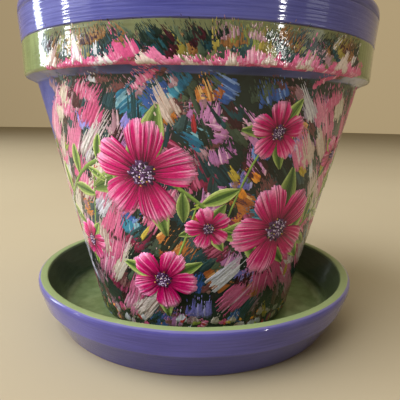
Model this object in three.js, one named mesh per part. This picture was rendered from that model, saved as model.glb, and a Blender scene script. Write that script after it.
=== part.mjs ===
// A clay flower pot, painted and varnished, standing in its own saucer.
// Millimetres, +Z up. The origin is the centre of the saucer's underside, and both
// pieces are round about the Z axis. The pot rests on the saucer's floor and lifts out.

import * as THREE from 'three';

// Saucer: a shallow dish with a flat lip and a soft break half way up its wall
const SAUCER_HEIGHT = 30.5;
const SAUCER_WIDEST_RADIUS = 101.2;
const SAUCER_WIDEST_HEIGHT = 26.5;
const SAUCER_BREAK_RADIUS = 98;
const SAUCER_BREAK_HEIGHT = 16.3;
const SAUCER_FOOT_RADIUS = 89;
const SAUCER_FOOT_ROUND = 1.6;
const SAUCER_LIP_ROUND = 2.2;
const SAUCER_LIP_INNER_RADIUS = 95.2;
const SAUCER_LIP_INNER_ROUND = 1.2;
const SAUCER_FLOOR_THICKNESS = 6;
const SAUCER_FLOOR_RADIUS = 82;
const SAUCER_FLOOR_FILLET = 6;

// Pot: a straight tapered body under a wide collar, which ends in a rolled lip
const POT_FOOT_RADIUS = 62.3;
const POT_FOOT_ROUND = 2;
const POT_BODY_HEIGHT = 138;
const POT_BODY_TOP_RADIUS = 95.4;
const COLLAR_UNDERSIDE_RISE = 2.4;
const COLLAR_BOTTOM_RADIUS = 102.2;
const COLLAR_BOTTOM_ROUND = 1.8;
const COLLAR_MIDDLE_RADIUS = 102.7;
const COLLAR_MIDDLE_HEIGHT = 158;
const COLLAR_TOP_RADIUS = 104;
const COLLAR_TOP_HEIGHT = 171;
const CREASE_DEPTH = 0.9;
const CREASE_WIDTH = 1.4;
const POT_HEIGHT = 178.6;
const LIP_ROUND = 3.6;
const LIP_INNER_RADIUS = 94;
const LIP_INNER_ROUND = 2.4;

// Inside of the pot
const INSIDE_COLLAR_RADIUS = 89.5;
const INSIDE_COLLAR_HEIGHT = 146;
const INSIDE_FLOOR_RADIUS = 50;
const INSIDE_WALL_FOOT_RADIUS = 56.5;
const INSIDE_FILLET = 6;
const POT_FLOOR_THICKNESS = 9;
const DRAIN_HOLE_RADIUS = 11;
const DRAIN_HOLE_ROUND = 1.2;

// Resolution of the turned surfaces
const TURN_STEPS = 80;
const ROUND_STEPS = 3;
const FINE_ROUND_STEPS = 5;

const QUARTER = Math.PI / 2;

// A point of a profile: distance from the axis, then height
function at(radius, height) {
  return new THREE.Vector2(radius, height);
}

// Points along an arc, given its centre, radius and two angles from the outward direction
function arc(centreRadius, centreHeight, radius, from, to, steps) {
  const points = [];
  for (let step = 0; step <= steps; step += 1) {
    const angle = from + (to - from) * (step / steps);
    points.push(at(centreRadius + radius * Math.cos(angle), centreHeight + radius * Math.sin(angle)));
  }
  return points;
}

// Direction across the wall that climbs from one point to another, as an angle
function outwardAngle(low, high) {
  return Math.atan2(high.y - low.y, high.x - low.x) - QUARTER;
}

// A profile turned about the Z axis
function turned(name, profile, colour, roughness) {
  const geometry = new THREE.LatheGeometry(profile, TURN_STEPS);
  geometry.rotateX(QUARTER);
  const material = new THREE.MeshStandardMaterial({ color: colour, roughness, metalness: 0 });
  const mesh = new THREE.Mesh(geometry, material);
  mesh.name = name;
  return mesh;
}

function saucerProfile() {
  const foot = at(SAUCER_FOOT_RADIUS, SAUCER_FOOT_ROUND);
  const wallBreak = at(SAUCER_BREAK_RADIUS, SAUCER_BREAK_HEIGHT);
  const lipCentre = SAUCER_WIDEST_RADIUS - SAUCER_LIP_ROUND;
  const innerLipCentre = SAUCER_LIP_INNER_RADIUS + SAUCER_LIP_INNER_ROUND;
  const floorFilletHeight = SAUCER_FLOOR_THICKNESS + SAUCER_FLOOR_FILLET;
  return [
    at(0, 0),
    ...arc(foot.x - SAUCER_FOOT_ROUND, foot.y, SAUCER_FOOT_ROUND,
      -QUARTER, outwardAngle(foot, wallBreak), ROUND_STEPS),
    wallBreak,
    at(SAUCER_WIDEST_RADIUS, SAUCER_WIDEST_HEIGHT),
    ...arc(lipCentre, SAUCER_HEIGHT - SAUCER_LIP_ROUND, SAUCER_LIP_ROUND, 0, QUARTER, FINE_ROUND_STEPS),
    ...arc(innerLipCentre, SAUCER_HEIGHT - SAUCER_LIP_INNER_ROUND, SAUCER_LIP_INNER_ROUND,
      QUARTER, 2 * QUARTER, ROUND_STEPS),
    ...arc(SAUCER_FLOOR_RADIUS, floorFilletHeight, SAUCER_FLOOR_FILLET, 0, -QUARTER, ROUND_STEPS),
    at(0, SAUCER_FLOOR_THICKNESS),
  ];
}

// The outside of the pot, from its underside up to the top of its lip
function potOutside(seat) {
  const foot = at(POT_FOOT_RADIUS, seat + POT_FOOT_ROUND);
  const bodyTop = at(POT_BODY_TOP_RADIUS, seat + POT_BODY_HEIGHT);
  const collarBottom = bodyTop.y + COLLAR_UNDERSIDE_RISE;
  const collarTop = seat + COLLAR_TOP_HEIGHT;
  const top = seat + POT_HEIGHT;
  return [
    ...arc(foot.x - POT_FOOT_ROUND, foot.y, POT_FOOT_ROUND,
      -QUARTER, outwardAngle(foot, bodyTop), ROUND_STEPS),
    bodyTop,
    ...arc(COLLAR_BOTTOM_RADIUS - COLLAR_BOTTOM_ROUND, collarBottom + COLLAR_BOTTOM_ROUND,
      COLLAR_BOTTOM_ROUND, -QUARTER, 0, ROUND_STEPS),
    at(COLLAR_MIDDLE_RADIUS, seat + COLLAR_MIDDLE_HEIGHT),
    at(COLLAR_TOP_RADIUS, collarTop),
    at(COLLAR_TOP_RADIUS - CREASE_DEPTH, collarTop + CREASE_WIDTH / 2),
    at(COLLAR_TOP_RADIUS, collarTop + CREASE_WIDTH),
    ...arc(COLLAR_TOP_RADIUS - LIP_ROUND, top - LIP_ROUND, LIP_ROUND, 0, QUARTER, FINE_ROUND_STEPS),
  ];
}

// The inside of the pot, from the lip down to the drain hole
function potInside(seat) {
  const top = seat + POT_HEIGHT;
  const floor = seat + POT_FLOOR_THICKNESS;
  const wallFoot = at(INSIDE_WALL_FOOT_RADIUS, floor + INSIDE_FILLET);
  return [
    ...arc(LIP_INNER_RADIUS + LIP_INNER_ROUND, top - LIP_INNER_ROUND, LIP_INNER_ROUND,
      QUARTER, 2 * QUARTER, ROUND_STEPS),
    at(INSIDE_COLLAR_RADIUS, seat + INSIDE_COLLAR_HEIGHT),
    ...arc(wallFoot.x - INSIDE_FILLET, wallFoot.y, INSIDE_FILLET, 0, -QUARTER, ROUND_STEPS),
    at(INSIDE_FLOOR_RADIUS, floor),
    ...arc(DRAIN_HOLE_RADIUS + DRAIN_HOLE_ROUND, floor - DRAIN_HOLE_ROUND, DRAIN_HOLE_ROUND,
      QUARTER, 2 * QUARTER, ROUND_STEPS),
  ];
}

// The pot's profile closes on itself round the drain hole
function potProfile(seat) {
  const drainEdge = at(DRAIN_HOLE_RADIUS, seat);
  return [drainEdge, ...potOutside(seat), ...potInside(seat), drainEdge.clone()];
}

const planter = new THREE.Group();
planter.add(turned('saucer', saucerProfile(), 0x5c53a3, 0.25));
planter.add(turned('pot', potProfile(SAUCER_FLOOR_THICKNESS), 0x6a62b8, 0.2));

export default planter;
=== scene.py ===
"""The looks of a painted and varnished clay flower pot that stands in its saucer.

Metres, +Z up, with sizes and colours named below. The painted front faces -Y. Turn is the angle
about the axis, from the front, and run is the length along a turned piece's profile.
"""

import math
from functools import cached_property
from math import radians
import bpy
import numpy as np
from mathutils import Matrix, Vector


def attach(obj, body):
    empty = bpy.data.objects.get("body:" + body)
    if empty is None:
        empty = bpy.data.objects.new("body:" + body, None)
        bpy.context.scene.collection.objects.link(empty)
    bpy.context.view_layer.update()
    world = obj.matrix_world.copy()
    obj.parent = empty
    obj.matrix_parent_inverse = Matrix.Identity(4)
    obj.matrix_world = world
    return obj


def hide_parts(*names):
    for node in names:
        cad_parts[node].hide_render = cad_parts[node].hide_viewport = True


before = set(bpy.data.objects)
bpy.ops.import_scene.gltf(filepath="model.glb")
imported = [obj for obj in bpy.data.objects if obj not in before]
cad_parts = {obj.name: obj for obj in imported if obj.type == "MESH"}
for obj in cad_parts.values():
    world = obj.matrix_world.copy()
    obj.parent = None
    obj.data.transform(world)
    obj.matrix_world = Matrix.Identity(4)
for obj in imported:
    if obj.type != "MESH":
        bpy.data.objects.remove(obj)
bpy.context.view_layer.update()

MM = 0.001
QUARTER = math.pi / 2
HALF = math.pi
FULL = 2 * math.pi

# Camera, as the photograph was taken: place, then angles in radians
CAMERA_PLACE = Vector((0.0018, -0.2735, 0.1244))
CAMERA_YAW = 0.0032
CAMERA_DOWN = 0.1884
CAMERA_ROLL = 0.0188
CAMERA_LENS = 37.26

# Pot, in millimetres
SEAT = 6.0
FOOT_RADIUS = 62.3
FOOT_ROUND = 2.0
BODY_TOP_RADIUS = 95.4
BODY_TOP = SEAT + 138.0
COLLAR_RADIUS = 102.2
COLLAR_ROUND = 1.8
COLLAR_BOTTOM = BODY_TOP + 2.4
COLLAR_MIDDLE_RADIUS = 102.7
COLLAR_TOP_RADIUS = 104.0
COLLAR_TOP = SEAT + 171.0
POT_TOP = SEAT + 178.6
LIP_ROUND = 3.6
LIP_INNER_RADIUS = 94.0
LIP_INNER_ROUND = 2.4
INSIDE_COLLAR_RADIUS = 89.5
INSIDE_COLLAR = SEAT + 146.0
INSIDE_FOOT_RADIUS = 56.5
INSIDE_FLOOR = SEAT + 9.0
INSIDE_FILLET = 6.0
DRAIN_RADIUS = 11.0
DRAIN_ROUND = 1.2
DRAIN_BEVEL = 0.5

# Where green paint meets purple on the collar, where the paint inside the pot ends, and how raggedly
BAND_HEIGHT = 164.0
INSIDE_PAINT = 171.5
INSIDE_RAGGED = 10.0

# A cone inside the pot's wall: its radius at the seat, and how much that grows with height
WALL_MIDDLE = 58.5
WALL_SLOPE = (INSIDE_COLLAR_RADIUS - INSIDE_FOOT_RADIUS) / (INSIDE_COLLAR - INSIDE_FLOOR - INSIDE_FILLET)

# Saucer, in millimetres
SAUCER_TOP = 30.5
SAUCER_WIDEST_RADIUS = 101.2
SAUCER_WIDEST = 26.5
SAUCER_BREAK_RADIUS = 98.0
SAUCER_BREAK = 16.3
SAUCER_FOOT_RADIUS = 89.0
SAUCER_FOOT_ROUND = 1.6
SAUCER_LIP_ROUND = 2.2
SAUCER_LIP_INNER_RADIUS = 95.2
SAUCER_LIP_INNER_ROUND = 1.2
SAUCER_FLOOR_RADIUS = 82.0
SAUCER_FILLET = 6.0

# Small forms, as steps out and up: the cove on top of the body, the groove under the purple band,
# the crease under the lip and the ledge at the saucer's break
COVE = ((-0.3, -1.2), (0.0, 0.0), (1.2, 0.5))
GROOVE = ((0.0, -0.5), (-0.35, -0.1), (0.15, 0.2))
CREASE = ((-0.63, 0.35), (-0.9, 0.7), (-0.63, 1.12), (0.0, 1.4))
LEDGE = ((-0.7, -0.5), (-0.1, -0.2), (0.0, 0.0))

# Fineness of the turned meshes: steps round the axis, and gaps along the profile in millimetres
TURNS = 256
BODY_GAP = 1.0
COLLAR_GAP = 0.5
BAND_GAP = 0.25
INSIDE_GAP = 1.5
SAUCER_WALL_GAP = 0.6
SAUCER_INSIDE_GAP = 0.8
SAUCER_FLOOR_GAP = 3.0
FLOOR_GAP = 4.0
UNDERSIDE_GAP = 8.0

# Height over which the random lattices of an uneven surface are spread
LATTICE_HEIGHT = 190.0

# The painted front, in degrees of turn. Its left edge leans between two heights
LEFT_EDGE_LOW = -84.0
LEFT_EDGE_HIGH = -48.0
LEAN_FROM = 75.0
LEAN_TO = 145.0
RIGHT_EDGE = 78.0
GROUND_RIGHT_EDGE = 62.0
COLLAR_LEFT_EDGE = -43.0
COLLAR_RIGHT_EDGE = 48.0

# Marks within BESIDE_EDGE of either edge run along it, at most ALONG_EDGE up from level
BESIDE_EDGE = 16.0
ALONG_EDGE = 58.0

# The middle of the front, in degrees: where it lies, half its width, and the fade on either side
MIDDLE_TURN = 2.0
MIDDLE_HALF = 24.0
MIDDLE_FADE = 16.0

# Varnish over paint that has little shine of its own. It mirrors less than glass, so it stays weak
VARNISH = {"Coat_Roughness": 0.07, "Coat_IOR": 1.36, "Specular_IOR_Level": 0.1}

# Brush strokes: scales of their fine lines and slow patches, weight of the lines, and where light starts
LEVEL = (45, 45, 1500), (22, 22, 60), 0.55, 0.42
UPRIGHT = (700, 700, 40), (70, 70, 35), 0.5, 0.40

# The room's light: its colour, the side it comes from, and its least and greatest strength
ROOM_COLOUR = "#b09c78"
ROOM_TOWARD = (0.30, 0.75, 0.50)
ROOM_DIM = 0.06
ROOM_BRIGHT = 1.00

# Paint colours, as sRGB
PURPLE = "#575998"
PURPLE_DARK = "#434586"
# A deeper blue for the plain body, partly its own paint and partly painted shade under the overhanging
# collar
BODY_PURPLE_AND_SHADE = "#2f3a78"
UNDERSIDE_PURPLE = "#5c63a2"
SAUCER_PURPLE = "#504d91"
SAUCER_PURPLE_DARK = "#3f3c7b"
# Painted shade on the saucer's lower band, which faces down
SAUCER_LOW_SHADE_PURPLE = "#1b1a5c"
SAUCER_DULL_PURPLE = "#39355c"
# Painted highlight on the roll of the saucer's lip
SAUCER_ROLL_HIGHLIGHT = "#7f7ca0"
GREEN = "#788751"
GREEN_DARK = "#626e40"
SAUCER_GREEN = "#72835a"
SAUCER_GREEN_DARK = "#5a6a42"
# Painted shade on the saucer's inner walls, under the pot's overhanging collar
SAUCER_WALL_SHADE_GREEN = "#35422a"
# Painted light: a lighter green for the lip's top, which faces up into the light
SAUCER_LIP_LIT_GREEN = "#76865b"
WASHED_GREEN = "#5c5848"
PAT_EDGE_PINK = "#b04a68"
BAND_LINE = "#3c3048"
GROUND = "#22281e"
GROUND_BLACK = "#10130e"
GROUND_GREEN = "#1f2a24"
GROUND_TEAL = "#173038"
GROUND_BROWN = "#3a2226"
CLAY_DARK = "#7e5040"
CLAY = "#9c6650"
CLAY_BLOOM = "#b89079"
FLOOR = "#9b927c"
FLOOR_DARK = "#938973"


# Colours


def colour(code):
    """Linear RGBA of an sRGB code such as #aabbcc."""
    parts = [int(code[i : i + 2], 16) / 255 for i in (1, 3, 5)]
    linear = [p / 12.92 if p <= 0.04045 else ((p + 0.055) / 1.055) ** 2.4 for p in parts]
    return (*linear, 1.0)


def palette(codes):
    """Tints as rows of linear colours, from sRGB codes in one string."""
    return np.array([colour(code)[:3] for code in codes.split()])


# Profiles of the turned pieces, as lists of (radius, height) in millimetres


def rounded(radius, height, size, start, end, steps):
    """Points round a corner at (radius, height), from one angle to another."""
    halfway = (start + end) / 2
    out = radius - math.copysign(size, math.cos(halfway))
    up = height - math.copysign(size, math.sin(halfway))
    angles = np.linspace(start, end, steps + 1)
    return [(out + size * math.cos(a), up + size * math.sin(a)) for a in angles]


def about(radius, height, steps):
    """Points at steps out and up from (radius, height)."""
    return [(radius + out, height + up) for out, up in steps]


def wall_angle(low, high):
    """Angle across a wall that climbs from one point to another."""
    return math.atan2(high[1] - low[1], high[0] - low[0]) - QUARTER


def spaced(points, gap):
    """The same line with points about every gap millimetres, its own points kept."""
    made = [points[0]]
    for near, far in zip(points, points[1:]):
        steps = max(1, round(math.dist(near, far) / gap))
        ahead = np.subtract(far, near)
        made += [tuple(near + ahead * step / steps) for step in range(1, steps + 1)]
    return made


def pot_outside():
    """From the underside, up the body, round the collar and over the lip."""
    angle = wall_angle((FOOT_RADIUS, SEAT + FOOT_ROUND), (BODY_TOP_RADIUS, BODY_TOP))
    body = rounded(FOOT_RADIUS, SEAT, FOOT_ROUND, -QUARTER, angle, 6)
    body += about(BODY_TOP_RADIUS, BODY_TOP, COVE)
    under = rounded(COLLAR_RADIUS, COLLAR_BOTTOM, COLLAR_ROUND, -QUARTER, 0, 8)
    groove = about(COLLAR_MIDDLE_RADIUS, BAND_HEIGHT, GROOVE)
    lower = spaced(under[-1:] + groove[:2], COLLAR_GAP)[1:]
    upper = spaced(groove[1:] + [(COLLAR_TOP_RADIUS, COLLAR_TOP)], BAND_GAP)[1:]
    crease = about(COLLAR_TOP_RADIUS, COLLAR_TOP, CREASE)
    lip = rounded(COLLAR_TOP_RADIUS, POT_TOP, LIP_ROUND, 0, QUARTER, 12)
    return spaced(body, BODY_GAP) + spaced(under, COLLAR_GAP) + lower + upper + crease + lip


def pot_inside():
    """From the lip down to the drain hole."""
    lip = rounded(LIP_INNER_RADIUS, POT_TOP, LIP_INNER_ROUND, QUARTER, HALF, 8)
    wall = lip[-1:] + [(INSIDE_COLLAR_RADIUS, INSIDE_COLLAR)]
    floor_line = wall[-1:] + rounded(INSIDE_FOOT_RADIUS, INSIDE_FLOOR, INSIDE_FILLET, 0, -QUARTER, 6)
    floor_line += rounded(DRAIN_RADIUS, INSIDE_FLOOR, DRAIN_ROUND, QUARTER, HALF, 4)
    floor_line += [(DRAIN_RADIUS, SEAT + DRAIN_BEVEL), (DRAIN_RADIUS + DRAIN_BEVEL, SEAT)]
    return lip + spaced(wall, INSIDE_GAP)[1:] + spaced(floor_line, FLOOR_GAP)[1:]


def pot_profile():
    """The whole pot, from its drain hole out, over the lip and back."""
    underside = [(DRAIN_RADIUS + DRAIN_BEVEL, SEAT), (FOOT_RADIUS - FOOT_ROUND, SEAT)]
    return spaced(underside, UNDERSIDE_GAP)[1:-1] + pot_outside() + pot_inside()


def saucer_profile():
    """From the middle of the underside, over the lip, to the middle of the floor."""
    angle = wall_angle((SAUCER_FOOT_RADIUS, SAUCER_FOOT_ROUND), (SAUCER_BREAK_RADIUS, SAUCER_BREAK))
    foot = rounded(SAUCER_FOOT_RADIUS, 0.0, SAUCER_FOOT_ROUND, -QUARTER, angle, 6)
    wall = foot[-1:] + about(SAUCER_BREAK_RADIUS, SAUCER_BREAK, LEDGE)
    wall.append((SAUCER_WIDEST_RADIUS, SAUCER_WIDEST))
    lip = rounded(SAUCER_WIDEST_RADIUS, SAUCER_TOP, SAUCER_LIP_ROUND, 0, QUARTER, 10)
    lip += rounded(SAUCER_LIP_INNER_RADIUS, SAUCER_TOP, SAUCER_LIP_INNER_ROUND, QUARTER, HALF, 6)
    fillet = rounded(SAUCER_FLOOR_RADIUS + SAUCER_FILLET, SEAT, SAUCER_FILLET, 0, -QUARTER, 8)
    under = spaced([(0.0, 0.0), foot[0]], UNDERSIDE_GAP)[:-1]
    inside = spaced(lip[-1:] + fillet, SAUCER_INSIDE_GAP)[1:]
    floor_line = spaced([fillet[-1], (0.0, SEAT)], SAUCER_FLOOR_GAP)[1:]
    return under + foot + spaced(wall, SAUCER_WALL_GAP)[1:] + lip + inside + floor_line


# Turned meshes


def evened(points):
    """The profile as an array in metres, without points that fall on the one before."""
    kept = [points[0]]
    for point in points[1:]:
        if math.dist(point, kept[-1]) > 1e-4:
            kept.append(point)
    return np.array(kept) * MM


def runs_along(line):
    """The length up to each point of a line."""
    return np.concatenate([[0], np.cumsum(np.linalg.norm(np.diff(line, axis=0), axis=1))])


def profile_normals(line, closed):
    """Unit vectors out of the profile's right side as it is walked, which is the open air."""
    if closed:
        ahead = np.roll(line, -1, 0) - np.roll(line, 1, 0)
    else:
        ahead = np.gradient(line, axis=0)
    ahead /= np.linalg.norm(ahead, axis=1, keepdims=True)
    return np.stack([ahead[:, 1], -ahead[:, 0]], 1)


def around(turn, radius, height):
    """Places at a turn about the axis, a radius and a height."""
    return np.stack([radius * np.sin(turn), -radius * np.cos(turn), height], -1)


def placed(name, data):
    """A new object in the scene."""
    made = bpy.data.objects.new(name, data)
    bpy.context.scene.collection.objects.link(made)
    return made


def build_mesh(name, places, groups, uv, material):
    """A mesh object from vertices and arrays of faces, each array with one count of corners."""
    mesh = bpy.data.meshes.new(name)
    sizes = np.concatenate([np.full(len(group), group.shape[1]) for group in groups])
    corners = np.concatenate([group.ravel() for group in groups])
    mesh.vertices.add(len(places))
    mesh.vertices.foreach_set("co", places.astype(np.float32).ravel())
    mesh.loops.add(len(corners))
    mesh.loops.foreach_set("vertex_index", corners.astype(np.int32))
    mesh.polygons.add(len(sizes))
    mesh.polygons.foreach_set("loop_start", (np.cumsum(sizes) - sizes).astype(np.int32))
    layer = mesh.uv_layers.new(name="OFBake")
    layer.uv.foreach_set("vector", uv.astype(np.float32).ravel())
    mesh.update(calc_edges=True)
    mesh.polygons.foreach_set("use_smooth", np.ones(len(sizes), bool))
    mesh.materials.append(material)
    return placed(name, mesh)


def corner_uv(*corners):
    """UV of faces, from the u and the v of each corner in turn."""
    return np.stack(np.broadcast_arrays(*corners), -1).reshape(-1, 2)


def pole_fan(pole, ring, pole_share, ring_share, order):
    """Triangles from a pole to the ring that starts at a vertex, with their UV, wound by the order."""
    west = np.arange(TURNS)
    one, other = west + order[0], west + order[1]
    faces = np.stack([np.full(TURNS, pole), ring + one % TURNS, ring + other % TURNS], -1)
    middle, one, other = (west + 0.5) / TURNS, one / TURNS, other / TURNS
    return faces, corner_uv(middle, pole_share, one, ring_share, other, ring_share)


def turned(name, points, material, relief):
    """A profile turned about the axis, closed at its poles if it starts on the axis, else on itself."""
    line = evened(points)
    poles = line[0, 0] == 0
    share = runs_along(line if poles else np.vstack([line, line[:1]]))
    share /= share[-1]
    rings = slice(1, -1) if poles else slice(None)
    ring, out = line[rings, None], profile_normals(line, not poles)[rings, None]
    angle = np.arange(TURNS) * FULL / TURNS
    skin = ring + out * relief(angle, ring[..., 0], ring[..., 1])[..., None]
    places = around(angle, skin[..., 0], skin[..., 1]).reshape(-1, 3)
    rows, first = len(ring), int(poles)
    low, west = np.arange(rows - first)[:, None], np.arange(TURNS)
    high, east = (low + 1) % rows, (west + 1) % TURNS
    corners = ((low, west), (low, east), (high, east), (high, west))
    groups = [np.stack([row * TURNS + column for row, column in corners], -1).reshape(-1, 4)]
    left, right, near, far = west / TURNS, (west + 1) / TURNS, share[low + first], share[low + first + 1]
    uv = [corner_uv(left, near, right, near, right, far, left, far)]
    if poles:
        bottom, top = len(places), (rows - 1) * TURNS
        places = np.vstack([places, [[0, 0, line[0, 1]], [0, 0, line[-1, 1]]]])
        for faces, fan_uv in (
            pole_fan(bottom, 0, share[0], share[1], (1, 0)),
            pole_fan(bottom + 1, top, share[-1], share[-2], (0, 1)),
        ):
            groups.append(faces)
            uv.append(fan_uv)
    return build_mesh(name, places, groups, np.vstack(uv), material)


def settle(piece):
    """Rides a piece on the one body."""
    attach(piece, "root")


# Uneven surfaces


def grain(seed, turns, rows):
    """A smooth random field over (turn, height), without a seam round the axis."""
    lattice = np.random.default_rng(seed).uniform(-1, 1, (turns, rows))

    def read(turn, height_share):
        x = np.mod(turn / FULL, 1) * turns
        y = np.clip(height_share, 0, 1) * (rows - 1.001)
        x0, y0 = np.floor(x).astype(int), np.floor(y).astype(int)
        fx, fy = x - x0, y - y0
        fx, fy = fx * fx * (3 - 2 * fx), fy * fy * (3 - 2 * fy)
        x0, x1 = x0 % turns, (x0 + 1) % turns
        low = lattice[x0, y0] * (1 - fx) + lattice[x1, y0] * fx
        high = lattice[x0, y0 + 1] * (1 - fx) + lattice[x1, y0 + 1] * fx
        return low * (1 - fy) + high * fy

    return read


def hand_painted(seed, stroke, stand, calm):
    """Relief of a hand-finished coat: slow waves in the clay and level strokes left by the brush.

    Stroke is their depth in millimetres. It is flat at its stand and inside the calm radius.
    """
    waves, strokes, hairs = grain(seed, 9, 5), grain(seed + 1, 20, 370), grain(seed + 2, 60, 500)

    def relief(turn, radius, z):
        turn, radius, z = np.broadcast_arrays(turn, radius, z)
        share = z / (LATTICE_HEIGHT * MM)
        level = share + 0.004 * np.sin(3 * turn)
        lift = 0.20 * waves(turn, share) + stroke * strokes(turn, level)
        lift = lift + 0.4 * stroke * hairs(turn, level)
        settled = np.clip((z / MM - stand) / 2, 0, 1) * np.clip((radius / MM - calm) / 8, 0, 1)
        return lift * settled * MM

    return relief


# Brush marks: each is a set of thin closed ridges of paint, laid on the pot's skin


class Skin:
    """The pot's outside as a sheet. Places on it are a turn and a run, the length up the profile."""

    def __init__(self, points, relief):
        line = evened(points)
        self.runs = runs_along(line)
        self.radius, self.height = line.T
        self.out, self.up = profile_normals(line, False).T
        self.relief = relief

    def run_at(self, height):
        return np.interp(height, self.height, self.runs)

    def radius_at(self, run):
        return np.interp(run, self.runs, self.radius)

    def place(self, turn, run, lift):
        parts = self.radius, self.height, self.out, self.up
        radius, height, out, up = (np.interp(run, self.runs, part) for part in parts)
        lift = lift + self.relief(turn, radius, height)
        return around(turn, radius + out * lift, height + up * lift)


class Ridges:
    """Ridges of paint that make one piece, in batches.

    A batch has arrays over (ridge, station): the turn and run of the middle lines, their half width,
    lift and tint. A cross-section has four corners, the outer two sunk in the skin. In the UV map each
    ridge has a cell of its own, with its walls in the middle and a thin strip for either end.
    """

    SECTION = np.array([-1.0, -0.66, 0.66, 1.0])
    SUNK = 0.06 * MM
    COLUMNS = 16
    MARGIN = 0.06
    ACROSS = np.array([0.06, 0.22, 0.78, 0.92, 0.98])
    STRIP = 0.001

    def __init__(self):
        self.batches = []

    def places(self, turn, run, half, lift):
        """Corners of every cross-section."""
        ahead_x = np.gradient(turn, axis=1) * SKIN.radius_at(run)
        ahead_y = np.gradient(run, axis=1)
        length = np.hypot(ahead_x, ahead_y) + 1e-9
        side = self.SECTION * half[..., None]
        runs = run[..., None] + side * (ahead_x / length)[..., None]
        turns = turn[..., None] - side * (ahead_y / length)[..., None] / SKIN.radius_at(runs)
        lifts = np.where(abs(self.SECTION) < 1, lift[..., None], -self.SUNK)
        return SKIN.place(turns, runs, lifts).reshape(-1, 3)

    def faces(self, ridges, stations, first):
        """Walls along every ridge and a cap at either end, from the first vertex on."""
        corner = np.arange(ridges * stations * 4).reshape(ridges, stations, 4) + first
        after = np.roll(corner, -1, axis=2)
        walls = np.stack([corner[:, :-1], corner[:, 1:], after[:, 1:], after[:, :-1]], -1)
        return np.vstack([walls.reshape(-1, 4), corner[:, 0], corner[:, -1, ::-1]])

    def uv(self, ridges, stations, first, rows):
        """UV of the same faces, in cells from the first on."""
        cell = np.arange(ridges)[:, None] + first
        column, row = cell % self.COLUMNS, cell // self.COLUMNS
        along = self.MARGIN + (1 - 2 * self.MARGIN) * np.linspace(0, 1, stations)
        along = ((column + along) / self.COLUMNS)[..., None]
        across = (row + self.ACROSS) / rows
        near, far, low, high = along[:, :-1], along[:, 1:], across[:, None, :-1], across[:, None, 1:]
        parts = [corner_uv(near, low, far, low, far, high, near, high)]
        for share, order in ((self.MARGIN / 3, slice(0, 4)), (1 - self.MARGIN / 3, slice(3, None, -1))):
            ends = (column + share) / self.COLUMNS + [0, 0, self.STRIP, self.STRIP]
            parts.append(corner_uv(ends, across[:, order]))
        return np.vstack(parts)

    def build(self, name):
        rows = math.ceil(sum(len(batch[0]) for batch in self.batches) / self.COLUMNS)
        made = []
        vertex = cell = 0
        for turn, run, half, lift, tint in self.batches:
            ridges, stations = turn.shape
            tints = np.repeat(tint, 4, axis=1).reshape(-1, 3)
            faces, uv = self.faces(ridges, stations, vertex), self.uv(ridges, stations, cell, rows)
            made.append((self.places(turn, run, half, lift), tints, faces, uv))
            vertex += len(tints)
            cell += ridges
        places, tints, faces, uv = (np.concatenate(part) for part in zip(*made))
        piece = build_mesh(name, places, [faces], uv, BRUSHED)
        layer = piece.data.color_attributes.new("tint", "FLOAT_COLOR", "POINT")
        opaque = np.column_stack([tints, np.ones(len(tints))])
        layer.data.foreach_set("color", opaque.astype(np.float32).ravel())
        settle(piece)


def drift(rng, count, step):
    """A random walk from lane to lane, kept between 0 and 1."""
    walk = np.cumsum(rng.normal(0, step, count)) + rng.uniform(0.1, 0.6)
    return np.abs((walk + 1) % 2 - 1)


def tapered(stations, low):
    """One along a ridge, and low at its two ends."""
    shape = np.ones(stations)
    shape[[0, -1]] = low
    return shape


def lay(ridges, turn, height, aim, along, offset, half, lift, tint):
    """Lays lines given in millimetres along and across an aim on the skin, about (turn, height)."""
    angle = radians(aim)
    east = (along * math.cos(angle) - offset * math.sin(angle)) * MM
    north = (along * math.sin(angle) + offset * math.cos(angle)) * MM
    run = SKIN.run_at(height * MM) + north
    run = np.clip(run, SKIN.run_at((SEAT + 0.8) * MM), SKIN.runs[-1])
    turns = radians(turn) + east / SKIN.radius_at(run)
    ridges.batches.append((turns, run, half * MM, lift * MM, tint))


def lanes_across(width, pitch, fewest):
    """Middles of a mark's lanes, from -1 to 1 across it."""
    lanes = max(fewest, round(width / pitch))
    return (np.arange(lanes) + 0.5) / lanes * 2 - 1


def dab(ridges, rng, turn, height, aim, length, width, tints, lift, dry, pitch=0.8, **shape):
    """A brush mark: full and blunt at its head, at (turn, height), and ragged at its tail, towards aim.

    Turn and aim are in degrees, aim from level and anticlockwise. Lengths are in millimetres. It is
    made of lanes a pitch apart, and dry is how far the driest of them fall short. The rest of its
    shape is told in dab_lines.
    """
    across = lanes_across(width, pitch, 2)
    lanes = len(across)
    across = across + rng.normal(0, 0.25 / lanes, lanes)
    along, offset = dab_lines(rng, across, height, aim, length, width, dry, **shape)
    stations = along.shape[1]
    share = np.linspace(0, 1, stations)
    swell = np.interp(share, [0, 0.45, 0.75, 1], [2.0, 1.8, 1.0, 0.4]) * tapered(stations, 0.6)
    half = 0.5 * pitch * rng.uniform(0.8, 1.25, lanes)[:, None] * swell
    thick = np.interp(share, [0, 0.15, 1], [1.1, 1.0, 0.4]) * tapered(stations, 0.25)
    high = lift * rng.uniform(0.7, 1.3, lanes)[:, None] * thick
    main = tints[0] + (tints[1] - tints[0]) * drift(rng, lanes, 0.20)[:, None]
    streak = (rng.uniform(0, 1, lanes) < 0.18)[:, None] * rng.uniform(0.3, 0.9, (lanes, 1))
    tint = main + (tints[2] - main) * streak
    shade = 1 - 0.12 * rng.uniform(0, 1, (lanes, stations, 1))
    lay(ridges, turn, height, aim, along, offset, half, high, tint[:, None, :] * shade)
    crumbs(ridges, rng, turn, height, aim, along[:, -1], offset[:, -1], half[:, -2], lift, tint, dry)


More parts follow.
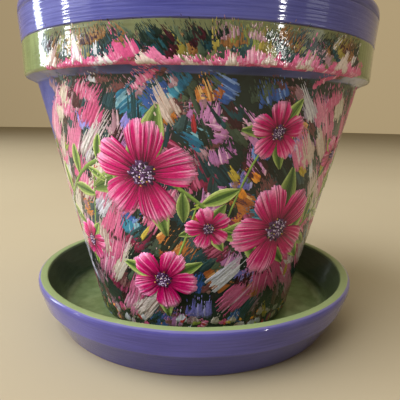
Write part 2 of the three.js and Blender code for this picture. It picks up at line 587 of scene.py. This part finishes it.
def dab_lines(
    rng, across, height, aim, length, width, dry, bend=0.0, blunt=0.12, fray=0.06, point=0.25, edge=-1e3
):
    """Middle lines of a mark's lanes, along and across its aim.

    Bend is how far the tail swings aside. Blunt and point are how round its head and tail are, and
    fray is how ragged the head is, as shares of its length. No lane starts below the edge, a height.
    """
    lanes, stations = len(across), 6
    start = length * blunt * across**2 + rng.uniform(-fray, fray, lanes) * length
    worn = 0.3 * drift(rng, lanes, 0.3) + 0.7 * rng.uniform(0, 1, lanes)
    rise, slant = math.sin(radians(aim)), math.cos(radians(aim))
    start = np.maximum(start, (edge - height - across * width / 2 * slant) / rise)
    reach = length * (1 - dry * worn - point * across**2)
    share = np.linspace(0, 1, stations)
    along = start[:, None] + (np.maximum(reach, start + 2.5) - start)[:, None] * share
    offset = across[:, None] * width / 2 + bend * (along / length) ** 2
    return along, offset + rng.normal(0, 0.06, (lanes, stations))


def crumbs(ridges, rng, turn, height, aim, along, offset, half, lift, tint, dry):
    """Broken bits of paint past the tail of a mark."""
    kept = rng.uniform(0, 1, len(along)) < 0.9 * dry + 0.1
    count = int(kept.sum())
    if not count:
        return
    gap, size = rng.uniform(0.4, 1.6, (2, count))
    path = (along[kept] + gap)[:, None] + (0.8 + size)[:, None] * np.linspace(0, 1, 3)
    side = offset[kept][:, None] + rng.normal(0, 0.05, (count, 3))
    narrow = np.maximum(0.8 * half[kept], 0.12)[:, None] * tapered(3, 0.5)
    low = np.broadcast_to(0.5 * lift * tapered(3, 0.2), (count, 3))
    lay(ridges, turn, height, aim, path, side, narrow, low, np.repeat(tint[kept][:, None], 3, 1))


# Materials


class Nodes:
    """The node tree of a material or of the world, with short calls for its nodes."""

    def __init__(self, holder):
        holder.use_nodes = True
        self.holder = holder
        self.tree = holder.node_tree

    def feed(self, socket, value):
        """Gives an input a socket to follow, a colour code or a value."""
        if isinstance(value, bpy.types.NodeSocket):
            self.tree.links.new(value, socket)
        else:
            socket.default_value = colour(value) if isinstance(value, str) else value

    def node(self, kind, inputs, **settings):
        """The outputs of a new node, whose inputs are told by name or by number."""
        node = self.tree.nodes.new("ShaderNode" + kind)
        for name, value in settings.items():
            setattr(node, name, value)
        for key, value in inputs.items():
            self.feed(node.inputs[key], value)
        return node.outputs

    def finish(self, shader="Principled BSDF", **values):
        for name, value in values.items():
            self.feed(self.tree.nodes[shader].inputs[name.replace("_", " ")], value)
        return self.holder

    @cached_property
    def place(self):
        return self.node("TexCoord", {})["Object"]

    @cached_property
    def axes(self):
        """x, y and z in millimetres."""
        scaled = self.node("Mapping", {"Vector": self.place, "Scale": (1 / MM,) * 3})[0]
        return tuple(self.node("SeparateXYZ", {0: scaled}))

    @cached_property
    def radius(self):
        """How far out from the axis, in millimetres."""
        x, y, _ = self.axes
        return self.math("SQRT", self.plus(self.times(x, x), self.times(y, y)))

    @cached_property
    def turn(self):
        """The turn in radians."""
        x, y, _ = self.axes
        return self.math("ARCTAN2", x, self.times(y, -1.0))

    def math(self, operation, *values):
        return self.node("Math", dict(enumerate(values)), operation=operation)[0]

    def plus(self, a, b):
        return self.math("ADD", a, b)

    def minus(self, a, b):
        return self.math("SUBTRACT", a, b)

    def times(self, a, b):
        return self.math("MULTIPLY", a, b)

    def within(self, value, low, high):
        """How far a value is inside two limits."""
        return self.math("MINIMUM", self.minus(value, low), self.minus(high, value))

    def noise(self, scale, detail=3.0, rough=0.55, bend=0.0, lean=0.0):
        """Noise with a scale along all axes or along each, leaned by an angle about Y."""
        scales = scale if isinstance(scale, tuple) else (scale,) * 3
        inputs = {"Vector": self.place, "Rotation": (0.0, lean, 0.0), "Scale": scales}
        where = self.node("Mapping", inputs)[0]
        inputs = {"Vector": where, "Scale": 1.0, "Detail": detail, "Roughness": rough, "Distortion": bend}
        return self.node("TexNoise", inputs)[0]

    def step(self, value, low, high, to_low=0.0, to_high=1.0):
        """to_low below low, to_high above high, and a smooth climb between."""
        inputs = dict(enumerate((value, low, high, to_low, to_high)))
        return self.node("MapRange", inputs, interpolation_type="SMOOTHSTEP")[0]

    def mix(self, share, a, b):
        return self.node("Mix", {0: share, 6: a, 7: b}, data_type="RGBA")[2]

    def levelled(self):
        """Normals of a varnish that fills the grooves between strokes, nearly those of a plain wall."""
        x, y, z = self.axes
        lean = self.step(z, BODY_TOP, COLLAR_BOTTOM, -20.0, 0.0)
        wall = self.node("CombineXYZ", {0: x, 1: y, 2: lean})[0]
        out = self.node("VectorMath", {0: wall}, operation="NORMALIZE")[0]
        return self.mix(0.85, self.node("NewGeometry", {})["Normal"], out)

    def bump(self, height, strength, distance, **under):
        """A normal that follows a height, over another Normal if given. The distance is in metres."""
        inputs = {"Height": height, "Strength": strength, "Distance": distance, **under}
        return self.node("Bump", inputs)[0]


def stroked(look, light, dark, lines, patches, strength, low):
    """A paint laid on with strokes, which are fine lines, and slow patches, between two tones."""
    fine = look.times(look.noise(lines, detail=4), strength)
    slow = look.times(look.noise(patches, detail=2), 0.6)
    return look.mix(look.step(look.plus(fine, slow), low, low + 0.30), dark, light)


def bare_clay(look):
    """Fired clay with fine grit and pale bloom."""
    grit = look.noise(900, detail=2)
    bloom = look.noise((38, 38, 19), detail=5, rough=0.65)
    base = look.mix(look.step(grit, 0.3, 0.7), CLAY_DARK, CLAY)
    return look.mix(look.step(bloom, 0.50, 0.80, 0.0, 0.55), base, CLAY_BLOOM)


def varnished(look, paint, bare, coat, hairs):
    """Paint under a coat of varnish, with hair lines of the brush, and clay where it is bare."""
    lines = look.noise((120, 120, 2600))
    skin = look.noise(420)
    return look.finish(
        Base_Color=look.mix(bare, paint, bare_clay(look)),
        Roughness=look.step(bare, 0.0, 1.0, 0.42, 0.88),
        Coat_Weight=look.times(coat, look.step(bare, 0.0, 1.0, 1.0, 0.0)),
        Normal=look.bump(skin, 0.25, 0.0003, Normal=look.bump(lines, hairs, 0.0004)),
        Coat_Normal=look.bump(skin, 0.05, 0.0003),
        **VARNISH,
    )


def front_share(look):
    """One on the painted front, with a ragged edge at either side."""
    z = look.axes[2]
    ragged = look.times(look.noise((260, 260, 90), lean=0.35), 0.22)
    wander = look.times(look.noise(30, detail=2), 0.60)
    left = look.step(z, LEAN_FROM, LEAN_TO, radians(LEFT_EDGE_LOW), radians(LEFT_EDGE_HIGH))
    right = look.plus(wander, radians(GROUND_RIGHT_EDGE))
    return look.step(look.plus(look.within(look.turn, left, right), ragged), 0.10, 0.14)


def front_ground(look):
    """The dark ground of the front: blackish green, with teal and brown scumbled over it."""
    cloud = look.noise(30, detail=4, bend=0.6)
    teal = look.noise((26, 26, 34), bend=0.4)
    scrub = look.noise((420, 420, 110), detail=4, lean=0.5)
    tone = look.mix(look.step(cloud, 0.36, 0.60), GROUND_BLACK, GROUND_GREEN)
    tone = look.mix(look.step(teal, 0.56, 0.70, 0.0, 0.8), tone, GROUND_TEAL)
    return look.mix(look.step(scrub, 0.56, 0.66, 0.0, 0.5), tone, GROUND_BROWN)


def collar_paint(look, body, purple):
    """The body's paint, then the green and purple bands of the collar above it."""
    z = look.axes[2]
    wobble = look.plus(z, look.times(look.noise((60, 60, 10), detail=2), 0.6))
    # Among the marks the green is washed with grey and stops a little higher, over a pink edge
    inward = look.within(look.turn, radians(COLLAR_LEFT_EDGE), radians(COLLAR_RIGHT_EDGE))
    among = look.step(inward, 0.0, 0.10)
    green = look.mix(look.times(among, 0.6), stroked(look, GREEN, GREEN_DARK, *UPRIGHT), WASHED_GREEN)
    pink_edge = look.step(z, COLLAR_BOTTOM + 0.1, COLLAR_BOTTOM + 0.4)
    paint = look.mix(look.times(among, pink_edge), body, PAT_EDGE_PINK)
    green_edge = look.minus(wobble, look.times(among, 1.3))
    paint = look.mix(look.step(green_edge, COLLAR_BOTTOM + 0.2, COLLAR_BOTTOM + 0.6), paint, green)
    paint = look.mix(look.step(wobble, BAND_HEIGHT, BAND_HEIGHT + 0.3), paint, purple)
    # A thin dark line, in places, where the two bands meet
    from_line = look.math("ABSOLUTE", look.minus(wobble, BAND_HEIGHT))
    in_places = look.step(look.noise((70, 70, 20), detail=2), 0.35, 0.60, 0.1, 0.8)
    line = look.times(look.step(from_line, 0.15, 0.40, 1.0, 0.0), in_places)
    return look.mix(line, paint, BAND_LINE)


def pot_look():
    look = Nodes(bpy.data.materials.new("pot_paint"))
    z = look.axes[2]
    purple = stroked(look, PURPLE, PURPLE_DARK, *LEVEL)
    painted = front_share(look)
    # The plain body's purple is deepened, partly its own deeper paint and partly painted shade from the
    # overhanging collar
    body = look.mix(painted, look.mix(0.6, purple, BODY_PURPLE_AND_SHADE), front_ground(look))
    patchy = look.step(look.noise(40, detail=2), 0.38, 0.62, 0.35, 0.85)
    body = look.mix(look.step(z, BODY_TOP - 0.6, BODY_TOP + 0.2, 0.0, patchy), body, UNDERSIDE_PURPLE)
    # Inside, the paint stops in a ragged line below the rim, and the underside is bare
    at_seat = look.minus(look.radius, look.times(look.minus(z, SEAT), WALL_SLOPE))
    is_inside = look.step(at_seat, WALL_MIDDLE, WALL_MIDDLE + 0.5, 1.0, 0.0)
    edge = look.plus(z, look.times(look.noise((55, 55, 5), detail=4), INSIDE_RAGGED))
    unpainted = look.times(is_inside, look.step(edge, INSIDE_PAINT, INSIDE_PAINT + 0.7, 1.0, 0.0))
    bare = look.math("MAXIMUM", unpainted, look.step(z, SEAT + 0.15, SEAT + 0.5, 1.0, 0.0))
    # The plain part of the body has a thinner coat of varnish
    on_collar = look.step(z, COLLAR_BOTTOM, COLLAR_BOTTOM + 0.5)
    coat = look.step(look.math("MAXIMUM", painted, on_collar), 0.0, 1.0, 0.4, 1.0)
    return varnished(look, collar_paint(look, body, purple), bare, coat, 0.35)


def saucer_look():
    look = Nodes(bpy.data.materials.new("saucer_paint"))
    z, radius = look.axes[2], look.radius
    # Green from the line where the lip starts to round over, down to the floor
    before_line = look.step(look.plus(radius, look.noise((40, 40, 5))), 100.2, 100.4, 1.0, 0.0)
    off_underside = look.step(z, SEAT - 0.5, SEAT - 0.2)
    on_lip = look.step(look.minus(z, look.times(look.minus(radius, 97.5), 0.3)), 28.5, 28.7)
    inner = look.step(look.minus(radius, look.times(z, 0.38)), 86.8, 87.2, 1.0, 0.0)
    is_green = look.times(look.times(before_line, off_underside), look.math("MAXIMUM", on_lip, inner))
    brushed = look.step(look.noise((90, 90, 500)), 0.3, 0.7)
    green = look.mix(brushed, SAUCER_GREEN_DARK, SAUCER_GREEN)
    # Painted shade: the inner walls are darkened above the floor, where the pot's collar shades them
    green = look.mix(look.step(z, 9.0, 15.0, 0.0, 0.75), green, SAUCER_WALL_SHADE_GREEN)
    # Painted light: the lip's top is a lighter plain green, as lit from above
    green = look.mix(look.step(z, SAUCER_TOP - 2.0, SAUCER_TOP - 1.3), green, SAUCER_LIP_LIT_GREEN)
    # Purple outside: darker below the break as painted shade, duller near the top, and pale on the roll
    # of the lip as a painted highlight
    purple = stroked(look, SAUCER_PURPLE, SAUCER_PURPLE_DARK, *LEVEL)
    for low, high, to_low, to_high, tone in (
        (SAUCER_BREAK - 0.4, SAUCER_BREAK, 0.5, 0.0, SAUCER_LOW_SHADE_PURPLE),
        (SAUCER_TOP - 5.0, SAUCER_TOP - 3.0, 0.0, 0.35, SAUCER_DULL_PURPLE),
        (SAUCER_TOP - 1.1, SAUCER_TOP - 0.5, 0.0, 0.35, SAUCER_ROLL_HIGHLIGHT),
    ):
        purple = look.mix(look.step(z, low, high, to_low, to_high), purple, tone)
    bare = look.step(z, 0.2, 0.8, 1.0, 0.0)
    coat = look.step(inner, 0.0, 1.0, 1.0, 0.35)
    return varnished(look, look.mix(is_green, purple, green), bare, coat, 0.3)


def brushed_look():
    """Thick acrylic under varnish, in the tint of each ridge."""
    look = Nodes(bpy.data.materials.new("brushed_paint"))
    tint = look.node("VertexColor", {}, layer_name="tint")[0]
    fleck = look.noise(900, detail=2)
    shade = look.mix(look.step(fleck, 0.30, 0.62, 0.75, 0.0), tint, GROUND)
    return look.finish(
        Base_Color=look.mix(0.28, tint, shade),
        Roughness=0.45,
        Coat_Weight=look.step(fleck, 0.2, 0.5, 0.8, 1.0),
        Normal=look.bump(look.noise(750, detail=2), 0.5, 0.0004),
        Coat_Normal=look.bump(look.noise(600, detail=1), 0.25, 0.0004, Normal=look.levelled()),
        **VARNISH,
    )


# Stage, light and camera


def floor():
    look = Nodes(bpy.data.materials.new("floor"))
    material = look.finish(Base_Color=look.mix(look.noise(3), FLOOR, FLOOR_DARK), Roughness=0.75)
    bpy.ops.mesh.primitive_circle_add(vertices=96, radius=6.0, fill_type="NGON")
    piece = bpy.context.object
    piece.name = "floor"
    piece.data.materials.append(material)


def window(name, azimuth, height, distance, size, watts, tint, mirrored=True):
    """A soft rectangular light, aimed at the pot. Azimuth is from the front, towards +X.

    One that isn't mirrored lights the pot but doesn't show in its varnish.
    """
    data = bpy.data.lights.new(name, "AREA")
    data.shape = "RECTANGLE"
    data.size, data.size_y = size
    data.energy = watts
    data.color = tint
    light = placed(name, data)
    turn = radians(azimuth)
    light.location = (distance * math.sin(turn), -distance * math.cos(turn), height)
    light.visible_glossy = mirrored
    aim = Vector((0, 0, 0.1)) - light.location
    light.rotation_euler = aim.to_track_quat("-Z", "Y").to_euler()


def room():
    """World light: brighter behind, above and to the right than in front."""
    world = bpy.data.worlds.new("room")
    bpy.context.scene.world = world
    sky = Nodes(world)
    inputs = {0: sky.node("TexCoord", {})["Generated"], 1: ROOM_TOWARD}
    toward = sky.node("VectorMath", inputs, operation="DOT_PRODUCT")["Value"]
    glow = sky.node("MapRange", {0: toward, 1: -0.7, 2: 0.9, 3: ROOM_DIM, 4: ROOM_BRIGHT})[0]
    sky.finish("Background", Strength=glow, Color=ROOM_COLOUR)


def lights():
    window("tall_window", -106, 0.95, 3.0, (0.40, 1.25), 22, (0.84, 0.93, 1.0))
    window("low_window", -80, 0.62, 3.0, (0.24, 0.20), 10, (0.95, 0.98, 1.0))
    window("far_window", 46.5, 0.60, 3.0, (0.13, 0.40), 11, (1.0, 0.97, 0.93))
    window("side_left", -69, 0.60, 3.0, (0.80, 0.40), 2.6, (0.96, 0.98, 1.0))
    window("pane_left", -50, 0.60, 3.0, (0.20, 0.40), 0.8, (0.96, 0.98, 1.0))
    window("side_right", 69, 0.60, 3.0, (0.80, 0.40), 2.0, (0.96, 0.98, 1.0))
    window("sky_left", -64, 1.5, 1.6, (2.4, 2.4), 132, (0.98, 0.98, 1.0), False)
    window("ceiling", 120, 2.2, 0.4, (2.4, 2.4), 26, (1.0, 0.90, 0.74), False)
    room()


def camera():
    data = bpy.data.cameras.new("camera")
    data.lens = CAMERA_LENS
    data.sensor_width = 36.0
    data.clip_start = 0.01
    turn = Matrix.Rotation(-CAMERA_YAW, 4, "Z") @ Matrix.Rotation(QUARTER - CAMERA_DOWN, 4, "X")
    holder = placed("camera", data)
    holder.matrix_world = Matrix.Translation(CAMERA_PLACE) @ turn @ Matrix.Rotation(CAMERA_ROLL, 4, "Z")
    bpy.context.scene.camera = holder


# The painted front. Each palette is a mark's two main tints and the tint of its streaks


def palettes(*rows):
    return [palette(codes) for codes in rows]


PINKS = palettes("#ce6c94 #d98aa9 #ecccd8", "#c9507f #d47398 #e5bccb", "#bd4173 #cf6490 #dfa4b9")
WHITES = palettes("#d2cfcc #c2bdba #c08ba0", "#d0d1d6 #bbbdc9 #9d91ac")
CREAMS = palettes("#cfc3b0 #d7d0c4 #ab8d70", "#cab6ab #d5c8c0 #a17b73")
DARKS = palettes("#1c2a24 #121a16 #33463a", "#17323a #235058 #0f1e22", "#2c1219 #4a1e28 #1a1214")
SCUMBLES = palettes(
    "#5a3236 #7c4e4c #a07c74",
    "#37463a #55634c #1c2822",
    "#8a6470 #a98290 #cbacb6",
    "#243a3c #3c5658 #14262a",
)
MISTS = palettes(
    "#6461b0 #928cd6 #c4bdea",
    "#2a4886 #4068b4 #8aa8de",
    "#9a5f98 #cb88bc #ecc0da",
    "#1c5a7a #3788a4 #96c2ca",
    "#5c1232 #96264e #c8648a",
    "#8a4626 #c8803c #e8bc78",
)
ACCENTS = palettes(
    "#a8922f #c5b04a #7d7a2c",
    "#9a2430 #c24038 #5c1f22",
    "#7f8f36 #a6b44c #56682c",
    "#e08c28 #f0ae48 #b5622a",
)
OLIVES = palettes("#7f7534 #a5954a #5f5c2c", "#6c7440 #8f9650 #4c5630", "#7c5230 #94703e #583a22")

# Tints of the garland: from rib to edge, from the root to the rim and its streaks, and of the stipple
LEAF = palette("#3f5a2a #7d9a48 #b9c878")
PETAL = palette("#4c0028 #b00058 #cb0a70 #f0a2c8")
HEART = palette("#2a1430 #54305c #c9b4d4 #dcb848")

# Blossoms: turn in degrees, height and radius in millimetres, and how far each is rolled
BLOSSOMS = (
    (-17, 100, 27, 10),
    (33, 70, 27, 40),
    (-13, 43, 19, -8),
    (25, 120, 15, 20),
    (-50, 58, 13, 5),
    (5, 73, 12, 30),
    (58, 108, 12, -20),
)


def vine_height(turn):
    """The garland's stem, a long wave round the front."""
    return 84 + 22 * math.sin(radians(3 * (turn + 57)))


def left_edge(height):
    """Where the painted front starts, in degrees, by height in millimetres."""
    return np.interp(height, [LEAN_FROM, LEAN_TO], [LEFT_EDGE_LOW, LEFT_EDGE_HIGH])


def wall_radius(height):
    return np.interp(height, [SEAT, BODY_TOP], [FOOT_RADIUS, BODY_TOP_RADIUS])


def flow(turn, height):
    """Aim of the marks at a place: long waves that lean one way and then the other."""
    return 90 + 42 * math.tanh(2.0 * math.sin(radians(turn) * 2.3 + height / 50 + 4.5))


def from_blossoms(turn, height):
    """How far a place is from the nearest blossom's middle, as a share of its radius."""
    radius = wall_radius(height)
    return min(math.hypot(radians(turn - x) * radius, height - z) / size for x, z, size, _ in BLOSSOMS)


def scatter(rng, gap, low, high):
    """Places over the painted front, one near each point of a loose grid."""
    for row, height in enumerate(np.arange(low, high, gap)):
        step = math.degrees(gap / wall_radius(height))
        for turn in np.arange(left_edge(height) + 5 + step * 0.5 * (row % 2), RIGHT_EDGE, step):
            yield turn + rng.normal(0, 0.25) * step, height + rng.normal(0, 0.25) * gap


def any_of(rng, sets):
    return sets[rng.integers(len(sets))]


def tints_for(rng, turn, height, sets, chances, keep_off):
    """Tints for a mark at a place, or none. Chances are at the left, in the middle and at the right."""
    aside = float(np.clip((abs(turn - MIDDLE_TURN) - MIDDLE_HALF) / MIDDLE_FADE, 0, 1))
    chance = chances[0 if turn < 0 else 2] * aside + chances[1] * (1 - aside)
    chance *= np.interp(height, [15, 60], [0.35, 1.0])
    tints = any_of(rng, sets)
    return tints if rng.uniform() < chance and from_blossoms(turn, height) > keep_off else None


def body_marks(name, seed, places, choice, length, width, spread=8, **style):
    """A layer of marks over the body, darkened towards its foot as painted shade.

    Places are the gap between marks and their lowest and highest place, and the choice is of tints.
    """
    rng = np.random.default_rng(seed)
    ridges = Ridges()
    for turn, height in scatter(rng, *places):
        tints = tints_for(rng, turn, height, *choice)
        if tints is None:
            continue
        aim = flow(turn, height) + rng.normal(0, spread)
        if turn < left_edge(height) + BESIDE_EDGE:
            aim = min(aim, ALONG_EDGE)
        if turn > RIGHT_EDGE - BESIDE_EDGE:
            aim = max(aim, 180 - ALONG_EDGE)
        climb = max(0.2, math.sin(radians(aim)))
        size = min(rng.uniform(*length), max(6, (BODY_TOP - height) / climb))
        # Painted shade: the marks are darkened towards the foot, where the saucer shades the body
        tints = tints * np.interp(height, [20, 70], [0.65, 1.0])
        wide, bend = rng.uniform(*width), rng.normal(0, 1.2)
        dab(ridges, rng, turn, height, aim, size, wide, tints, bend=bend, **style)
    ridges.build(name)


def front_marks():
    """Layers of marks over the body, from the thinnest to the thickest."""
    scumbles = SCUMBLES, (1.0, 0.5, 0.7), 0.0
    thin = {"lift": 0.07, "dry": 0.9, "pitch": 0.95}
    body_marks("scumble", 31, (10.5, 12, 142), scumbles, (10, 22), (8, 14), 22, **thin)
    mists = MISTS, (0.1, 1.0, 0.1), 0.0
    body_marks("mist", 38, (13.0, 16, 140), mists, (14, 26), (10, 16), 35, lift=0.10, dry=0.7)
    darks = DARKS, (0.8, 0.8, 1.0), 0.0
    body_marks("dark_marks", 32, (16.0, 14, 142), darks, (16, 30), (5, 11), lift=0.14, dry=0.6)
    hairs = SCUMBLES + WHITES + DARKS, (1.0, 0.2, 0.9), 0.95
    body_marks("dry_hairs", 37, (10.0, 16, 141), hairs, (16, 34), (2.5, 6), lift=0.16, dry=0.9, pitch=1.3)
    full = {"dry": 0.5, "pitch": 0.65, "fray": 0.12, "point": 0.45}
    pinks = PINKS, (0.78, 0.15, 0.8), 0.9
    body_marks("pink_marks", 33, (17.0, 14, 138), pinks, (28, 48), (9, 15), lift=0.22, **full)
    pales = WHITES + CREAMS, (1.0, 0.15, 0.6), 0.9
    body_marks("pale_marks", 34, (18.0, 16, 140), pales, (26, 46), (6, 12), lift=0.28, **full)
    accents = ACCENTS, (0.5, 0.7, 0.7), 1.0
    body_marks("bright_flicks", 35, (22.0, 14, 138), accents, (8, 18), (1.5, 4), 30, lift=0.26, dry=0.5)


def foot_marks():
    """Two rows of small pats along the foot, with a bright speck on some."""
    rng = np.random.default_rng(51)
    ridges = Ridges()
    for height in (9.5, 15.0):
        for turn in np.arange(-80, RIGHT_EDGE, 4.6):
            group = any_of(rng, (PINKS, CREAMS, WHITES, SCUMBLES, DARKS))
            tints = any_of(rng, group) * rng.uniform(0.55, 0.9)
            place = turn + rng.normal(0, 1.0), height + rng.normal(0, 0.8)
            aim = 90 + rng.normal(0, 25)
            dab(ridges, rng, *place, aim, rng.uniform(4, 8), rng.uniform(3, 6), tints, lift=0.2, dry=0.3)
            if rng.uniform() < 0.5:
                speck = any_of(rng, ACCENTS)
                aim = 90 + rng.normal(0, 40)
                dab(ridges, rng, *place, aim, rng.uniform(3, 6), 1.2, speck, lift=0.3, dry=0.3)
    ridges.build("foot_marks")


def collar_aim(rng, turn):
    """Aim of the marks on the collar: they lean one way and then the other along it."""
    return 90 + 40 * math.sin(radians(turn) * 4.3 + 2.2) + rng.normal(0, 9)


def collar_flicks(rng):
    """Flicks over the green band: broad ones, then thin ones, each with the chances of its tints."""
    ridges = Ridges()
    for step, widths, chances in (
        (1.8, (6, 12), (0.45, 0.25, 0.30, 0.0)),
        (2.2, (1.5, 4), (0.40, 0.32, 0.18, 0.10)),
    ):
        for turn in np.arange(COLLAR_LEFT_EDGE + 1, COLLAR_RIGHT_EDGE, step):
            group = (DARKS, OLIVES, SCUMBLES, WHITES)[rng.choice(4, p=chances)]
            aim = collar_aim(rng, turn)
            height = rng.uniform(148, 156)
            size = min(rng.uniform(9, 17), (BAND_HEIGHT - 1.0 - height) / math.sin(radians(aim)))
            tints = any_of(rng, group)
            width = rng.uniform(*widths)
            dab(ridges, rng, turn, height, aim, size, width, tints, lift=0.10, dry=0.7, pitch=0.55)
    ridges.build("collar_flicks")


def collar_pats(rng):
    """Solid pats along the collar's lower edge: a row of pinks, and pale ones over it."""
    ridges = Ridges()
    shape = {"pitch": 0.7, "blunt": 0.02, "fray": 0.02, "point": 0.5, "edge": COLLAR_BOTTOM + 1.3}
    for sets, widths, sizes, gap, lift in (
        (PINKS, (8, 18), (7, 20), 0.55, 0.15),
        (CREAMS + WHITES, (4, 9), (8, 19), 2.6, 0.27),
    ):
        turn = COLLAR_LEFT_EDGE + rng.uniform(0, 3)
        while turn < COLLAR_RIGHT_EDGE:
            width = rng.uniform(*widths)
            height = COLLAR_BOTTOM + rng.uniform(-1.5, 0.3)
            tints = any_of(rng, sets)
            size = sizes[0] + (sizes[1] - sizes[0]) * rng.uniform() ** 2
            aim = collar_aim(rng, turn)
            dab(ridges, rng, turn, height, aim, size, width, tints, lift=lift, dry=0.5, **shape)
            turn += math.degrees(gap * width / COLLAR_RADIUS)
    ridges.build("collar_pats")


# The garland


def between(share, places, tints):
    """Tints at a share of the way along a palette."""
    return np.stack([np.interp(share, places, tints[:, part]) for part in range(3)], -1)


def petal(ridges, rng, turn, height, aim, size, lift):
    """One broad petal, as a fan of ridges from the blossom's heart to its rounded rim."""
    stations = 8
    width = 0.40 * size
    across = lanes_across(2 * width, 0.75, 7)[:, None]
    lanes = len(across)
    notch = 0.07 * np.exp(-((across / 0.22) ** 2))
    rim = size * (1 - 0.30 * across**2 - notch + rng.normal(0, 0.015, (lanes, 1)))
    share = np.linspace(0, 1, stations)
    along = 0.12 * size + (rim - 0.12 * size) * share
    out = along / size
    spread = width * (1 - (1 - np.minimum(out, 1)) ** 2.0) ** 0.9
    offset = across * spread + rng.normal(0, 0.04, (lanes, stations))
    half = np.maximum(spread / lanes * 1.35, 0.16) * tapered(stations, 0.6)
    dome = (1 + 0.6 * (1 - across**2)) * np.interp(share, [0, 0.5, 1], [0.3, 1.0, 0.7])
    high = (lift + 0.16 * dome * rng.uniform(0.7, 1.3, (lanes, 1))) * tapered(stations, 0.5)
    depth = np.clip(out + rng.normal(0, 0.07, (lanes, 1)) + 0.10 * across**2, 0, 1)
    tint = between(depth, [0.2, 0.45, 0.75, 1.0], PETAL)
    pale = np.interp(out, [0.35, 0.75], [0, 0.65])[..., None] * (rng.uniform(0, 1, (lanes, 1, 1)) < 0.30)
    shaded = 1 - 0.45 * (rng.uniform(0, 1, (lanes, 1, 1)) < 0.22)
    tint = (tint + (PETAL[3] - tint) * pale) * shaded
    lay(ridges, turn, height, aim, along, offset, half, high, tint)


def heart(ridges, rng, turn, height, size):
    """The blossom's middle: a dark disc of stipple with pale and yellow beads round it."""
    for count, reach, bead, lift, tints in (
        (44, 0.24, 0.055, 0.70, HEART[[0, 1]]),
        (70, 0.20, 0.022, 0.95, HEART[[1, 2]]),
        (12, 0.27, 0.022, 0.90, HEART[[2, 3]]),
    ):
        order = (np.arange(count) + 0.5)[:, None]
        angle = order * radians(137.5) + rng.normal(0, 0.2, (count, 1))
        radius = size * reach * np.sqrt(order / count)
        tint = tints[rng.integers(2, size=count)] * rng.uniform(0.8, 1.1, (count, 1))
        beads = np.maximum(size * bead * rng.uniform(0.8, 1.2, (count, 1)), 0.28)
        along = radius * np.cos(angle) + beads * [-1.0, 0.0, 1.0]
        across = radius * np.sin(angle) * np.ones(3)
        half = beads * tapered(3, 0.5)
        high = lift * tapered(3, 0.3) * rng.uniform(0.8, 1.2, (count, 1))
        tint = np.repeat(tint[:, None], 3, 1)
        lay(ridges, turn, height, rng.uniform(0, 90), along, across, half, high, tint)


def leaf(ridges, rng, turn, height, aim, length, lift=0.30):
    """A pointed leaf of ridges that run with its middle rib."""
    stations = 8
    width = 0.36 * length * rng.uniform(0.85, 1.15)
    across = lanes_across(width, 0.7, 5)[:, None]
    lanes = len(across)
    share = np.linspace(0, 1, stations)
    along = np.broadcast_to(length * (0.02 + 0.98 * share), (lanes, stations))
    spread = width / 2 * np.sin(np.pi * np.clip(share, 0.04, 0.97)) ** 0.8
    offset = across * spread + 0.12 * length * rng.normal(0, 0.5) * share**2
    half = np.maximum(spread / lanes * 1.4, 0.15) * tapered(stations, 0.7) * np.ones((lanes, 1))
    high = (lift + 0.12 * abs(across)) * tapered(stations, 0.5)
    edge = np.clip(abs(across) * 1.1 + rng.normal(0, 0.12, (lanes, 1)), 0, 1)
    tint = np.repeat(between(edge, [0.1, 0.6, 1.0], LEAF), stations, 1) * rng.uniform(0.65, 1.1)
    lay(ridges, turn, height, aim, along, offset, half, high, tint)


def stem(ridges, rng, path, half, tint):
    """A thin line of paint through places given as (turn, height)."""
    turn, height = np.array(path).T[:, None]
    stations = len(path)
    wide = half * MM * rng.uniform(0.75, 1.2, (1, stations)) * tapered(stations, 0.5)
    high = 0.28 * MM * tapered(stations, 0.3)[None]
    run = SKIN.run_at(height * MM)
    ridges.batches.append((np.radians(turn), run, wide, high, np.broadcast_to(tint, (1, stations, 3))))


def vine(leaves, rng):
    """The garland's stem, a stalk to each blossom, and leaves on either side by turns."""
    for lean in (-0.7, 0.0, 0.7):
        path = [(turn, vine_height(turn) + lean) for turn in np.arange(-66, 76, 2.5)]
        stem(leaves, rng, path, 0.55, LEAF[1] * (0.7 + 0.4 * lean))
    for turn, height, _, _ in BLOSSOMS:
        aside = 14 if height < vine_height(turn) else -14
        rise = vine_height(turn + aside) - height
        bow = [(turn + aside * share, height + rise * share**1.6) for share in np.linspace(0, 1, 9)]
        stem(leaves, rng, bow, 0.6, LEAF[1])
    for index, turn in enumerate(np.arange(-64, 76, 6.0)):
        side = 1 if index % 2 else -1
        climb = vine_height(turn + 1) - vine_height(turn - 1)
        slope = math.degrees(math.atan2(climb, radians(2) * 80))
        aim = slope + side * rng.uniform(35, 70)
        leaf(leaves, rng, turn, vine_height(turn), aim, rng.uniform(13, 21))


def garland():
    """A vine with leaves and five-petalled blossoms, in a wave round the front."""
    rng = np.random.default_rng(71)
    leaves, petals, hearts = Ridges(), Ridges(), Ridges()
    vine(leaves, rng)
    for turn, height, size, roll in BLOSSOMS:
        for step in range(3):
            aim = roll + 36 + 120 * step + rng.normal(0, 12)
            leaf(leaves, rng, turn, height, aim, size * 1.25, lift=0.26)
        for step in range(5):
            aim = roll + 72 * step + rng.normal(0, 3)
            petal(petals, rng, turn, height, aim, size, 0.36 + 0.05 * (step % 3))
        heart(hearts, rng, turn, height, size)
    leaves.build("leaves")
    petals.build("petals")
    hearts.build("hearts")


camera()
lights()
floor()
bpy.context.scene.view_settings.view_transform = "Standard"

pot_relief = hand_painted(11, 0.055, SEAT, 0)
pot = turned("painted_pot", pot_profile(), pot_look(), pot_relief)
settle(pot)
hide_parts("pot")
saucer = turned("painted_saucer", saucer_profile(), saucer_look(), hand_painted(21, 0.03, 0, 64))
settle(saucer)
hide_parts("saucer")

SKIN = Skin(pot_outside(), pot_relief)
BRUSHED = brushed_look()
front_marks()
foot_marks()
collar_rng = np.random.default_rng(61)
collar_flicks(collar_rng)
collar_pats(collar_rng)
garland()
